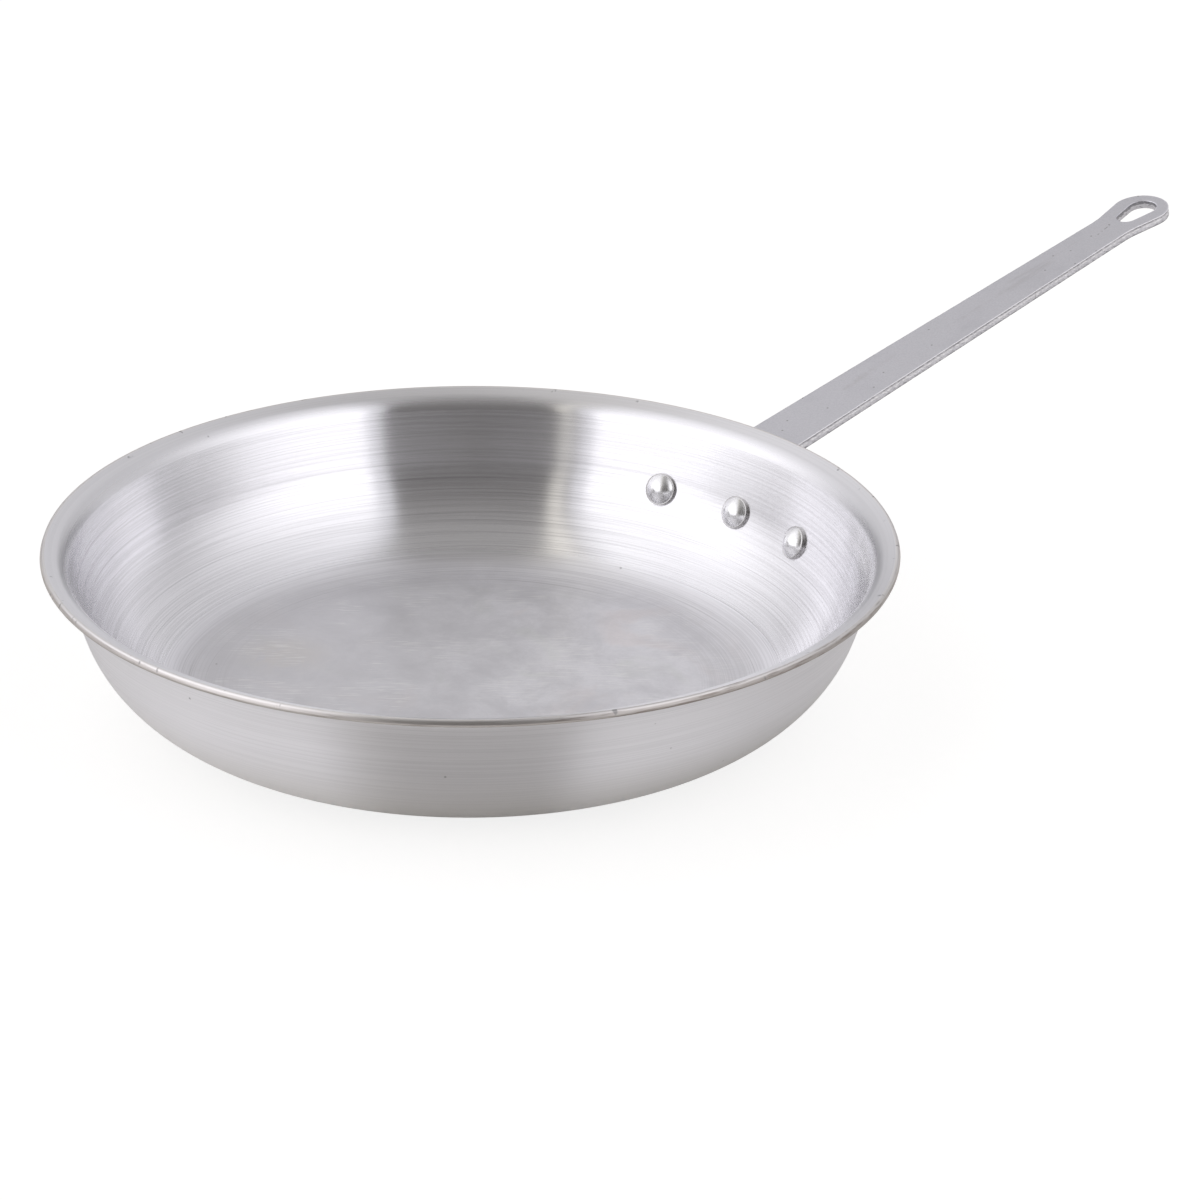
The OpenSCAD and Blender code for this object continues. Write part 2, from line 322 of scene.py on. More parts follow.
# Faint rings from the spinning roller, a few thousandths of a millimetre deep
RIPPLE_WAVES = (4.3, 7.1, 11.8, 19)
random = np.random.default_rng(14)
tangent = np.gradient(section, axis=0)
normal = np.stack([-tangent[:, 1], tangent[:, 0]], 1) / np.linalg.norm(tangent, axis=1)[:, None]
ripple = sum(np.sin(section_run * 2 * math.pi / wave + random.uniform(0, 6.3))
             for wave in RIPPLE_WAVES)
on_wall = np.interp(section_run, part_ends[1:5], [0, 1, 1, 0])
spun = section + normal * (RIPPLE_MM * ripple * on_wall)[:, None]
pan_points, pan_faces, pan_run = lathe(spun, PAN_TURNS, section_run)
pan = mesh_object("spun_pan", pan_points, pan_faces, {"across": pan_run})

# The aluminium's colours, painted shade among them, and the runs along the section at which its
# finish changes
BRUSHED = (0.865, 0.86, 0.88)
BRUSHED_DEEP_AND_SHADE = (0.68, 0.675, 0.69)
SCRATCH = (0.22, 0.215, 0.22)
SATIN_LIGHT = (0.85, 0.845, 0.87)
SATIN_DARK = (0.71, 0.705, 0.73)
FOOT_SHADE = (0.67, 0.66, 0.64)
FOOT_SIDE_SHADE = (0.47, 0.46, 0.445)
FLOOR_SIDE_SHADE = (0.63, 0.625, 0.64)
WIPED = (0.96, 0.955, 0.965)
DULL_LIP = (0.795, 0.79, 0.805)
WARM_EDGE = (0.78, 0.76, 0.75)
DARK_EDGE = (0.30, 0.27, 0.25)
WARM_STAIN = (0.80, 0.70, 0.66)
GREEN_STAIN = (0.70, 0.74, 0.66)
BROWN_BLOT = (0.74, 0.68, 0.58)
BLOT_PLACE = (-0.042, 0.074, 0.003)
WIPED_PLACE = (0.120, 0.053, 0.004)
PALE_MARK = (0.95, 0.95, 0.94)
run_floor, run_corner, run_wall, run_bend = part_ends[[1, 2, 3, 4]] * MM
run_edge_in, run_edge_out = part_ends[5] * MM, part_ends[8] * MM
run_edge_mid = (run_edge_in + run_edge_out) / 2
run_under, run_outer_wall = part_ends[[9, 11]] * MM

pan_look = bpy.data.materials.new("spun_aluminium")
start = new_tree(pan_look)
place = start.add("TexCoord", {}, {}, "Object")
x, y, _ = place.split()
across = start.add("Attribute", {"attribute_name": "across"}, {}, "Fac")
flat = start.add("CombineXYZ", {}, {0: x, 1: y})
round_way = start.add("VectorMath", {"operation": "NORMALIZE"}, {0: flat})
unit_x, unit_y, _ = round_way.split()


def noise(way, detail, rough):
    """Noise with one grain to each unit of the vector it is given."""
    return start.add("TexNoise", {}, {"Vector": way, "Scale": 1.0, "Detail": detail,
                                      "Roughness": rough})


def ring_noise(length, pitch, detail=3.0, rough=0.6, shift=0.0):
    """Noise drawn out round the pan: its grains are 1/length radii long and pitch metres wide."""
    way = start.add("CombineXYZ", {}, {0: unit_x * length, 1: unit_y * length,
                                       2: across * (1 / pitch) + shift})
    return noise(way, detail, rough)


def cloud(scale, detail=3.0, rough=0.55, warp=0.0):
    """Plain noise in the object's own space, scale grains to the metre."""
    return start.add("TexNoise", {}, {"Vector": place, "Scale": scale, "Detail": detail,
                                      "Roughness": rough, "Distortion": warp})


def speckle(scale, dimensions="3D"):
    """Scattered specks, scale to the metre: the distance to the nearest, and its chance value."""
    away = start.add("TexVoronoi", {"voronoi_dimensions": dimensions},
                     {"Vector": place, "Scale": scale})
    pick, _, _ = Wire(away.tree, away.socket.node.outputs["Color"]).split()
    return away, pick


def from_place(centre):
    """The distance from a place in the object."""
    return start.add("VectorMath", {"operation": "DISTANCE"}, {0: place, 1: centre}, 1)


# Where each finish lies: the brushed walls, the lathe's last turns on the floor's edge, the lip
# and the rim edge
on_lip = across.step(run_wall + 0.002, run_bend + 0.0015)
inner_wall = across.step(run_floor + 0.010, run_floor + 0.032) * (1 - on_lip)
outer_wall = across.step(run_under, run_under + 0.004)
brushed = inner_wall + outer_wall
satin = 1 - across.step(run_floor + 0.004, run_floor + 0.026)
turned = (across.step(run_floor - 0.014, run_floor + 0.004)
          * (1 - across.step(run_wall, run_wall + 0.004)) + outer_wall * 0.5)
outer_foot = across.step(run_outer_wall - 0.004, run_outer_wall + 0.040)
lip = on_lip * (1 - across.step(run_edge_in - 0.0002, run_edge_in + 0.0002))
edge = (across.step(run_edge_in - 0.0001, run_edge_in + 0.0006)
        * (1 - across.step(run_edge_out, run_edge_out + 0.0008)))

# Brush lines round the walls: fine ones, broader bands, and the lathe's darker grooves low down
fine_lines = ring_noise(1.0, 0.00065, 3.0, 0.75)
broad_lines = ring_noise(1.1, 0.0034, 2.0, 0.5, 40.0)
low_wall = (across.step(run_floor - 0.004, run_floor + 0.010)
            * (1 - across.step(run_corner - 0.012, run_corner + 0.02)))
grooves = ring_noise(0.8, 0.0006, 2.0, 0.6, 90.0).step(0.60, 0.68) * low_wall

# The floor: cloudy patches, faint warm and green stains, a brown blot and a wiped spot, and short
# marks along the sheet's grain. Then a few pits, and the worn lines and nicks of the lip and rim
patches = cloud(36, 7, 0.70, 0.25)
stains = cloud(19, 3, 0.5, 1.0)
blot = from_place(BLOT_PLACE).step(0.026, 0.006) * patches.step(0.38, 0.56)
wiped = from_place(WIPED_PLACE).step(0.040, 0.008)
grain_way = start.add("Mapping", {"vector_type": "POINT"},
                      {0: place, "Rotation": (0, 0, -CAMERA_TURN)})
grain_way = start.add("Mapping", {"vector_type": "POINT"}, {0: grain_way, "Scale": (90, 800, 1)})
grain = noise(grain_way, 2.0, 0.55)
marks = grain.step(0.50, 0.66) * cloud(30, 2).step(0.48, 0.60) * satin
specks, speck_pick = speckle(62.0)
pits = (1 - specks.step(0.015, 0.045)) * speck_pick.step(0.60, 0.64)
lip_lines = ring_noise(1.0, 0.0008, 2.0, 0.6, 30.0)
rim_wear = ring_noise(11.0, 0.0009, 3.0, 0.65, 15.0)
nicks = (ring_noise(40.0, 0.006, 2.0, 0.5, 60.0).step(0.66, 0.74)
         * across.step(run_edge_in - 0.0022, run_edge_in - 0.0004) * (lip + edge))

# Each finish, and the painted shade, is laid over the colour so far, by its reach times its
# strength
colour = satin.tint(BRUSHED, patches.step(0.30, 0.68).tint(SATIN_DARK, SATIN_LIGHT))
colour = (stains.step(0.55, 0.72) * satin * 0.22).tint(colour, WARM_STAIN)
colour = (stains.step(0.42, 0.28) * satin * 0.25).tint(colour, GREEN_STAIN)
colour = (blot * satin * 0.4).tint(colour, BROWN_BLOT)
# Painted shade: the floor is darkened on the side to the camera's left
colour = ((y * 0.69 - x * 0.72).step(-0.03, 0.06) * satin * 0.5).tint(colour, FLOOR_SIDE_SHADE)
colour = (cloud(800, 2).step(0.35, 0.65) * satin * 0.14).tint(colour, SATIN_DARK)
colour = (wiped * 0.6).tint(colour, WIPED)
colour = (marks * 0.35).tint(colour, PALE_MARK)
colour = (fine_lines.step(0.56, 0.42) * turned * 0.55).tint(colour, BRUSHED_DEEP_AND_SHADE)
colour = (broad_lines.step(0.60, 0.36) * turned * 0.08).tint(colour, BRUSHED_DEEP_AND_SHADE)
colour = (grooves * 0.24).tint(colour, SCRATCH)
# Painted shade: the outer wall darker towards its foot, and darker still on the side to the
# camera's right
colour = (outer_foot * 0.8).tint(colour, FOOT_SHADE)
colour = ((x * 0.72 - y * 0.69).step(-0.02, 0.09) * outer_foot * 0.4).tint(colour, FOOT_SIDE_SHADE)
colour = lip.tint(colour, DULL_LIP)
# Painted shade over the inner bend from the wall into the lip
bend_shade = (across.step(run_wall, run_wall + 0.003)
              * across.step(run_bend + 0.002, run_bend - 0.002))
colour = (bend_shade * 0.35).tint(colour, BRUSHED_DEEP_AND_SHADE)
# Painted shade: the lower half of the rim edge is darker, with worn rings; the edge is also darker
# towards the pan's -Y side
shaded_lower_edge = across.step(run_edge_mid - 0.0008, run_edge_mid + 0.0004)
toward_minus_y = (unit_y * -1).step(0.76, 0.97)
edge_shade_and_wear = (shaded_lower_edge * (rim_wear * 0.5 + 0.3)
             + rim_wear.step(0.50, 0.70) * (toward_minus_y * 0.4 + 0.15) + toward_minus_y * 0.2)
colour = edge.tint(colour, edge_shade_and_wear.tint(WARM_EDGE, DARK_EDGE))
colour = (lip_lines.step(0.58, 0.40) * lip * 0.25).tint(colour, BRUSHED_DEEP_AND_SHADE)
colour = (nicks * 0.7).tint(colour, SCRATCH)
colour = (pits * 0.6).tint(colour, SCRATCH)

roughness = (0.56 - inner_wall * 0.33 - outer_wall * 0.10 + (patches - 0.5) * satin * 0.14
             - lip * 0.20 - edge * 0.22)
tool_marks = (fine_lines * 0.035 + broad_lines * 0.002 - grooves * 0.02) * turned
ring_marks = lip_lines * lip * 0.25 + rim_wear * edge * 0.5
height = tool_marks + ring_marks + (grain * 0.8 + patches * 1.4) * satin - pits * 1.0
bump = start.add("Bump", {}, {"Strength": 1.0, "Distance": 0.0001, "Height": height})
brushed_metal = start.add("BsdfPrincipled", {}, {
    "Base Color": colour, "Metallic": 1.0, "Roughness": roughness, "Anisotropic": 1.0,
    "Anisotropic Rotation": 0.25, "Normal": bump})
satin_metal = start.add("BsdfPrincipled", {}, {
    "Base Color": colour, "Metallic": 1.0, "Roughness": roughness, "Normal": bump})
mixed = start.add("MixShader", {}, {0: brushed, 1: satin_metal, 2: brushed_metal})
start.add("OutputMaterial", {}, {"Surface": mixed})
pan.data.materials.append(pan_look)
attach(pan, "root")
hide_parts("pan_body")


# Handle: a steel bar, sheared to its outline with a fine burr along the top edge, bent into a
# flange that follows the pan's wall, pierced for hanging at the far end, and dull plated.
BAR_T = 4.3
BAR_ROOT_W = 28.4
BAR_NECK_W = 20.4
NECK_L = 237
BAR_SLOPE = math.radians(11.7)
LIP_GAP = 0.7
BAR_BEND_R = 6
ROOT_RUN = 2.4
LOBE_R = 12
SHOULDER_R = 20
EYE_R = 13.6
EYE_L = 20.1
NECK_R = 45
HOLE_WIDE_R = 6.7
HOLE_NARROW_R = 4.8
HOLE_L = 11.6
HOLE_SHIFT = 1.6
RIVET_H = 36
RIVET_PITCH = 42
inner_corner_r = CORNER_R - WALL_T
rivet_tilt = math.asin((CORNER_R - RIVET_H) / inner_corner_r)
rivet_r = base_r + inner_corner_r * math.cos(rivet_tilt)
rivet_turn = 2 * math.asin(RIVET_PITCH / (2 * rivet_r))

# The bar's mid line from the foot of the flange, up the wall, round the bend and out along the
# bar, to a little past its tip
bar_top = edge_low[1] - RIM_EDGE_R - LIP_GAP
bar_corner_x = ((bar_top - wall_top[1] + wall_top[0] * math.tan(WALL_SLOPE)
                 - RIM_R * math.tan(BAR_SLOPE))
                / (math.tan(WALL_SLOPE) - math.tan(BAR_SLOPE)))
bar_corner = np.array([bar_corner_x, bar_top + (bar_corner_x - RIM_R) * math.tan(BAR_SLOPE)])
bar_turn = WALL_SLOPE - BAR_SLOPE
bend_centre = (bar_corner - (BAR_BEND_R + BAR_T) * math.tan(bar_turn / 2) * along(WALL_SLOPE)
               + (BAR_BEND_R + BAR_T) * right_of(WALL_SLOPE))
mid_r = CORNER_R + BAR_T / 2
flange_mid = np.array([rivet_r, RIVET_H]) + (WALL_T + BAR_T / 2) * along(-rivet_tilt)
lobe = np.array([flange_mid[0] * math.sin(rivet_turn), flange_mid[1]])
foot_angle = -math.asin((CORNER_R - (lobe[1] - LOBE_R)) / mid_r)
flange_line = arc(corner_centre, mid_r, foot_angle, WALL_SLOPE - QUARTER, 60)
bend_line = arc(bend_centre, BAR_BEND_R + BAR_T / 2, WALL_SLOPE + QUARTER, BAR_SLOPE + QUARTER, 40)
rim_mid = np.array([RIM_R, bar_top]) + BAR_T / 2 * right_of(BAR_SLOPE)
bar_reach = NECK_L + EYE_L + EYE_R + 2
mid_line = np.concatenate([flange_line, line(flange_line[-1], bend_line[0], 8), bend_line,
                           line(bend_line[-1], rim_mid, 6),
                           [rim_mid, rim_mid + bar_reach * along(BAR_SLOPE)]])
mid_run = np.concatenate([[0], np.cumsum(np.linalg.norm(np.diff(mid_line, axis=0), axis=1))])
rim_run = mid_run[-2]
bend_run = mid_run[len(flange_line) + 8]
bar_run = bend_run + (BAR_BEND_R + BAR_T / 2) * bar_turn + ROOT_RUN
line_way = np.gradient(mid_line, mid_run, axis=0)
line_way /= np.linalg.norm(line_way, axis=1)[:, None]


def on_bar(run, side, depth):
    """Bends the flat plate: a run along the mid line, a distance across and a depth under the top.
    On the flange a point keeps its distance across, on a circle about the pan's axis."""
    run, side, depth = np.broadcast_arrays(run, side, depth)
    radius, height = (np.interp(run, mid_run, mid_line[:, i]) for i in (0, 1))
    way_r, way_z = (np.interp(run, mid_run, line_way[:, i]) for i in (0, 1))
    lift = BAR_T / 2 - depth
    radius, height = radius - way_z * lift, height + way_r * lift
    share = np.clip((run - bend_run) / (bar_run - bend_run), 0, 1)
    share = share * share * (3 - 2 * share)
    reach = radius - (1 - share) * (radius - np.sqrt(radius ** 2 - side ** 2))
    return np.stack([reach, side, height], -1)


# How often the hollow's edge is worked out anew, its width to height where it leaves the foot of
# the shoulder, and the outline's distance behind the rim edge where the bar takes over
HOLLOW_TRIES = 12
HOLLOW_STEEP = 16
RIM_MARGIN = 0.5


def half_outline():
    """One side of the plate as runs and distances across: foot lobe, hollow shoulder, taper, eased
    neck, eye. In the bar's own plane, where x is 0 at the rim edge, the shoulder is hollowed once
    more, to y = shoulder_y - sqrt(SHOULDER_R^2 - x^2)."""
    shoulder_y = BAR_ROOT_W / 2 + SHOULDER_R
    shoulder_z = lobe[1] + math.sqrt((SHOULDER_R + LOBE_R) ** 2 - (lobe[0] - shoulder_y) ** 2)
    shoulder = np.array([shoulder_y, shoulder_z])
    meet = math.atan2(shoulder[1] - lobe[1], shoulder[0] - lobe[0])
    flange = np.concatenate([arc(lobe, LOBE_R, -QUARTER, meet, 80),
                             arc(shoulder, SHOULDER_R, meet + math.pi, math.pi, 80)[1:]])
    heights = mid_line[:, 1]
    flange_run = np.interp(flange[:, 1], heights, mid_run)
    flange_r = np.interp(flange_run, mid_run, mid_line[:, 0])
    hollow = flange[:, 0]
    for _ in range(HOLLOW_TRIES):
        plan_x = ((np.sqrt(flange_r ** 2 - hollow ** 2) - RIM_R) * math.cos(BAR_SLOPE)
                  + (flange[:, 1] - bar_top) * math.sin(BAR_SLOPE))
        hollow = shoulder_y - np.sqrt(np.maximum(SHOULDER_R ** 2 - plan_x ** 2, 0))
    over_foot = flange[:, 1] - shoulder_z + SHOULDER_R
    hollow = np.maximum(hollow, shoulder_y - HOLLOW_STEEP * over_foot)
    width = np.where(flange[:, 0] < shoulder_y, np.minimum(flange[:, 0], hollow), flange[:, 0])
    near = flange_run < rim_run - RIM_MARGIN
    taper = math.atan2((BAR_ROOT_W - BAR_NECK_W) / 2, NECK_L)
    neck = np.array([NECK_L, BAR_NECK_W / 2])
    eye = np.array([NECK_L + EYE_L, 0])
    touch = math.pi - math.atan2(neck[1], EYE_L) - math.acos(EYE_R / np.linalg.norm(neck - eye))
    flare = touch - QUARTER
    ease = neck - NECK_R * math.tan((flare + taper) / 2) * along(-taper) - NECK_R * right_of(-taper)
    bar = np.concatenate([[[0, BAR_ROOT_W / 2]],
                          arc(ease, NECK_R, -taper - QUARTER, flare - QUARTER, 40),
                          arc(eye, EYE_R, touch, 0, 90)])
    bar[:, 0] += rim_run
    return np.concatenate([np.stack([flange_run, width], 1)[near], bar])


def evenly(points, count):
    """The same line with its points at equal distances."""
    runs = np.concatenate([[0], np.cumsum(np.linalg.norm(np.diff(points, axis=0), axis=1))])
    even = np.linspace(0, runs[-1], count)
    return np.stack([np.interp(even, runs, points[:, i]) for i in (0, 1)], 1)


# Points along one side of the outline, strips across a broad face, and the least rise of its rows
SIDE_POINTS = 640
COLUMNS = 24
ROW_RISE = 0.08
side_line = evenly(half_outline(), SIDE_POINTS + 1)
side_line[-1, 1] = 0
foot_line = np.stack([np.full(COLUMNS - 1, side_line[0, 0]),
                      np.linspace(-side_line[0, 1], side_line[0, 1], COLUMNS + 1)[1:-1]], 1)
loop = np.concatenate([side_line, side_line[-2::-1] * [1, -1], foot_line])
loop_way = np.roll(loop, -1, axis=0) - np.roll(loop, 1, axis=0)
loop_way /= np.linalg.norm(loop_way, axis=1)[:, None]
loop_in = np.stack([loop_way[:, 1], -loop_way[:, 0]], 1)


def uneven(count, reach, seed):
    """A closed line of smooth chance values about 0, each spread over reach points."""
    noise = np.random.default_rng(seed).normal(size=count)
    window = np.exp(-np.linspace(-2, 2, 4 * reach + 1) ** 2)
    padded = np.concatenate([noise[-2 * reach:], noise, noise[:2 * reach]])
    smooth = np.convolve(padded, window / math.sqrt((window ** 2).sum()), "valid")
    return smooth[:count]


# How far in from the outline, how deep under the top face, how rough and how bright, from the top
# face round to the underside: the burr, the groove, the torn band, the sheared land, the lower edge
# The brightness is partly the sheared steel's own tone and partly painted light: a painted
# highlight along the burr, and painted shade in the groove and on the lower edge
EDGE_RINGS = np.array([
    [1.5, 0.12, 0, 0.5], [0.8, 0.12, 0, 0.5], [0.42, 0.12, 0.01, 0.5], [0.26, 0.06, 0.03, 0.8],
    [0.13, 0.02, 0.03, 1], [0.03, 0.12, 0.02, 1], [0.05, 0.4, 0.04, 0.5], [0.13, 0.8, 0.06, 0.05],
    [0.17, 1.2, 0.07, 0.4], [0.13, 1.8, 0.08, 0.85], [0.09, 2.3, 0.06, 0.6],
    [0.03, 2.8, 0.03, 0.45], [0.01, 3.3, 0.01, 0.4], [0.02, 3.8, 0.01, 0.15],
    [0.12, 4.05, 0, 0.0], [0.36, 4.22, 0, 0.3], [0.8, 4.29, 0, 0.5], [1.5, 4.3, 0, 0.5]])
# Round the hole the same, where the dark middle of its wall is painted shade
HOLE_RINGS = np.array([
    [1.0, 0.12, 0, 0.5], [0.5, 0.13, 0, 0.5], [0.25, 0.17, 0.02, 0.75], [0.08, 0.3, 0.04, 0.6],
    [0.02, 0.5, 0.05, 0], [0, 1.1, 0.06, -0.1], [0.02, 1.8, 0.07, 0.1], [0.06, 2.4, 0.07, 0.4],
    [0.10, 3.1, 0.05, 0.45], [0.12, 3.8, 0.04, 0.4], [0.18, 4.2, 0.02, 0.3], [0.5, 4.29, 0, 0.5],
    [1.0, 4.3, 0, 0.5]])


def edge_rings(base, inward, rings, seed):
    """Rings round an outline, as places in the plate and depths: each is the outline moved in by
    its inset plus smooth chance, at its own depth plus 0.4 times as much chance."""
    count = len(base)
    shift = np.stack([rings[k, 0] + np.abs(rings[k, 2] * uneven(count, 3, seed + k))
                      for k in range(len(rings))])
    sink = np.stack([uneven(count, 4, seed + 50 + k) for k in range(len(rings))])
    return (base[None] + shift[..., None] * inward[None],
            np.maximum(rings[:, 1, None] + 0.4 * rings[:, 2, None] * sink, 0.005))


# The rings round the eye begin this far before its hole
EYE_MARGIN = 8
outer_flat, outer_depth = edge_rings(loop, loop_in, EDGE_RINGS, 100)
eye_start = rim_run + NECK_L + EYE_L - HOLE_L - HOLE_NARROW_R - EYE_MARGIN
first_eye_row = int(np.searchsorted(side_line[:, 0], eye_start))

# The teardrop hole's outline as a distance in every direction from a place near its middle
HOLE_MIDDLE_SHIFT = 1.0
hole_wide = np.array([rim_run + NECK_L + EYE_L + HOLE_SHIFT, 0])
hole_narrow = hole_wide - [HOLE_L, 0]
hole_lean = QUARTER + math.asin((HOLE_WIDE_R - HOLE_NARROW_R) / HOLE_L)
hole_ends = (arc(hole_wide, HOLE_WIDE_R, -hole_lean, hole_lean, 200),
             arc(hole_narrow, HOLE_NARROW_R, hole_lean, 2 * math.pi - hole_lean, 160))
hole_line = np.concatenate([hole_ends[0], line(hole_ends[0][-1], hole_ends[1][0], 60),
                            hole_ends[1], line(hole_ends[1][-1], hole_ends[0][0], 60)])
hole_middle = (hole_wide + hole_narrow) / 2 + [HOLE_MIDDLE_SHIFT, 0]
hole_angle = np.unwrap(np.arctan2(*(hole_line - hole_middle).T[::-1]))
hole_reach = np.linalg.norm(hole_line - hole_middle, axis=1)


def plate_face(ring_flat, depth, ring_numbers, first_new):
    """One broad face: rows from side to side, as far as the eye. Inside the plate each row rises at
    least a little over the one before, also where the outline turns back. Returns the new points,
    their depths, the table of rows, and the numbers and places of the closed loop round the eye."""
    rows = np.arange(1, first_eye_row + 1)
    plus, minus = ring_flat[rows], ring_flat[2 * SIDE_POINTS - rows]
    share = np.linspace(0, 1, COLUMNS + 1)[None, 1:-1, None]
    inside = minus[:, None] * (1 - share) + plus[:, None] * share
    rise = ROW_RISE * rows
    inside[..., 0] = (rise + np.minimum.accumulate((plus[:, 0] - rise)[::-1])[::-1])[:, None]
    numbers = first_new + np.arange(inside[..., 0].size).reshape(inside.shape[:2])
    foot = np.append(ring_numbers[2 * SIDE_POINTS:], ring_numbers[0])
    sides = ring_numbers[2 * SIDE_POINTS - rows][:, None], ring_numbers[rows][:, None]
    table = np.concatenate([foot[None], np.concatenate([sides[0], numbers, sides[1]], 1)])
    round_eye = slice(first_eye_row, 2 * SIDE_POINTS - first_eye_row + 1)
    eye_numbers = np.concatenate([ring_numbers[round_eye], numbers[-1]])
    eye_flat = np.concatenate([ring_flat[round_eye], inside[-1]])
    return inside.reshape(-1, 2), np.full(numbers.size, depth), table, eye_numbers, eye_flat


PLAIN_SHINE = 0.5
ring_count, loop_count = outer_depth.shape
ring_table = np.arange(ring_count * loop_count).reshape(ring_count, loop_count)
points_flat, points_depth = [outer_flat.reshape(-1, 2)], [outer_depth.ravel()]
points_shine = [np.repeat(EDGE_RINGS[:, 3], loop_count)]
made = ring_count * loop_count
handle_faces = [grid_faces(ring_table, wrap=True, flip=True)]
eye_sides = []
for ring, depth, under in ((0, EDGE_RINGS[0, 1], False), (-1, EDGE_RINGS[-1, 1], True)):
    inside, depths, table, eye_numbers, eye_flat = plate_face(outer_flat[ring], depth,
                                                              ring_table[ring], made)
    points_flat.append(inside)
    points_depth.append(depths)
    points_shine.append(np.full(len(inside), PLAIN_SHINE))
    made += len(inside)
    handle_faces.append(grid_faces(table, flip=under))
    eye_sides.append((eye_numbers, eye_flat, under))

# The hole's own rings, matched to the eye's loop by direction
eye_count = len(eye_sides[0][0])
eye_angle = np.unwrap(np.arctan2(*(eye_sides[0][1] - hole_middle).T[::-1]))
turn = (eye_angle - hole_angle[0]) % (2 * math.pi) + hole_angle[0]
reach = np.interp(turn, np.concatenate([hole_angle, [hole_angle[0] + 2 * math.pi]]),
                  np.concatenate([hole_reach, [hole_reach[0]]]))
outward = np.stack([np.cos(eye_angle), np.sin(eye_angle)], 1)
hole_flat, hole_depth = edge_rings(hole_middle + reach[:, None] * outward, outward, HOLE_RINGS, 300)
hole_table = made + np.arange(hole_depth.size).reshape(hole_depth.shape)
points_flat.append(hole_flat.reshape(-1, 2))
points_depth.append(hole_depth.ravel())
points_shine.append(np.repeat(HOLE_RINGS[:, 3], eye_count))
made += hole_depth.size
handle_faces.append(grid_faces(hole_table, wrap=True))
EYE_STEPS = 4
for (eye_numbers, eye_flat, under), hole_ring in zip(eye_sides, (0, -1)):
    depth = EDGE_RINGS[hole_ring, 1]
    share = np.linspace(0, 1, EYE_STEPS + 2)[1:-1, None, None]
    between = eye_flat[None] * (1 - share) + hole_flat[hole_ring][None] * share
    numbers = made + np.arange(EYE_STEPS * eye_count).reshape(EYE_STEPS, eye_count)
    points_flat.append(between.reshape(-1, 2))
    points_depth.append(np.full(numbers.size, depth))
    points_shine.append(np.full(numbers.size, PLAIN_SHINE))
    made += numbers.size
    table = np.concatenate([eye_numbers[None], numbers, hole_table[hole_ring][None]])
    handle_faces.append(grid_faces(table, wrap=True, flip=under))

flat_points, depths = np.concatenate(points_flat), np.concatenate(points_depth)
handle_points = on_bar(flat_points[:, 0], flat_points[:, 1], depths) * MM
handle = mesh_object("bar_handle", handle_points, handle_faces,
                     {"deep": depths * MM, "shine": np.concatenate(points_shine)})

# The plating's colours. The shine of each point says how bright its part of the edge is: partly its
# own tone, partly a painted highlight along the burr and painted shade in the groove, on the lower
# edge and in the hole
PLATED = (0.70, 0.697, 0.735)
SMUDGE = (0.53, 0.53, 0.56)
RUBBED = (0.45, 0.43, 0.42)
GRIT = (0.50, 0.50, 0.54)
BARE_STEEL_AND_HIGHLIGHT = (0.98, 0.98, 1.0)
TORN_STEEL_AND_SHADE = (0.20, 0.20, 0.22)
DARK_PIT = (0.25, 0.24, 0.24)
handle_look = bpy.data.materials.new("plated_steel")
start = new_tree(handle_look)
place = start.add("TexCoord", {}, {}, "Object")
deep = start.add("Attribute", {"attribute_name": "deep"}, {}, "Fac")
shine = start.add("Attribute", {"attribute_name": "shine"}, {}, "Fac")
side_face = deep.step(0.0002, 0.0006) * (1 - deep.step(0.0040, 0.0042))
smudges = cloud(38, 4, 0.6, 0.4)
grit = cloud(1300, 2, 0.7)
torn_way = start.add("Mapping", {"vector_type": "POINT"}, {0: place, "Scale": (450, 450, 1600)})
torn = noise(torn_way, 4.0, 0.65)
specks, speck_pick = speckle(75.0, "2D")
pits = specks.step(0.045, 0.02) * speck_pick.step(0.50, 0.54)
# One thin scratch near the eye, and long faint streaks
x, y, _ = place.split()
off_scratch = (y - 0.0018 - (x - 0.411) * 0.139).math("ABSOLUTE")
scratch = (off_scratch.step(0.00035, 0.0001) * x.step(0.396, 0.399) * x.step(0.4115, 0.411)
           * cloud(700, 2).step(0.46, 0.56))
streak_way = start.add("Mapping", {"vector_type": "POINT"},
                       {0: place, "Rotation": (0, 0, 0.05), "Scale": (14, 150, 14)})
streaks = noise(streak_way, 4.0, 0.6)
# The edge bands: painted highlight and painted shade, streaked by the torn steel
edge_wear_and_light = shine + (torn - 0.5) * side_face * 2.0
colour = (smudges.step(0.5, 0.75) * 0.3).tint(PLATED, SMUDGE)
colour = (streaks.step(0.56, 0.72) * smudges.step(0.45, 0.6) * 0.28).tint(colour, RUBBED)
colour = (grit.step(0.35, 0.70) * 0.30).tint(colour, GRIT)
colour = (edge_wear_and_light.step(0.55, 0.95) * 0.85).tint(colour, BARE_STEEL_AND_HIGHLIGHT)
colour = (edge_wear_and_light.step(0.45, 0.0) * 0.8).tint(colour, TORN_STEEL_AND_SHADE)
colour = (pits.math("MAXIMUM", scratch) * 0.7).tint(colour, DARK_PIT)
roughness = (smudges - 0.5) * 0.12 + 0.46 - side_face * 0.08
height = grit * 0.5 + cloud(420, 3) * 0.6 - pits * 2.0 + torn * side_face * 4.0
bump = start.add("Bump", {}, {"Strength": 0.4, "Distance": 0.00003, "Height": height})
plated = start.add("BsdfPrincipled", {}, {
    "Base Color": colour, "Metallic": 1.0, "Roughness": roughness, "Normal": bump})
start.add("OutputMaterial", {}, {"Surface": plated})
handle.data.materials.append(handle_look)
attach(handle, "root")
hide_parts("handle")


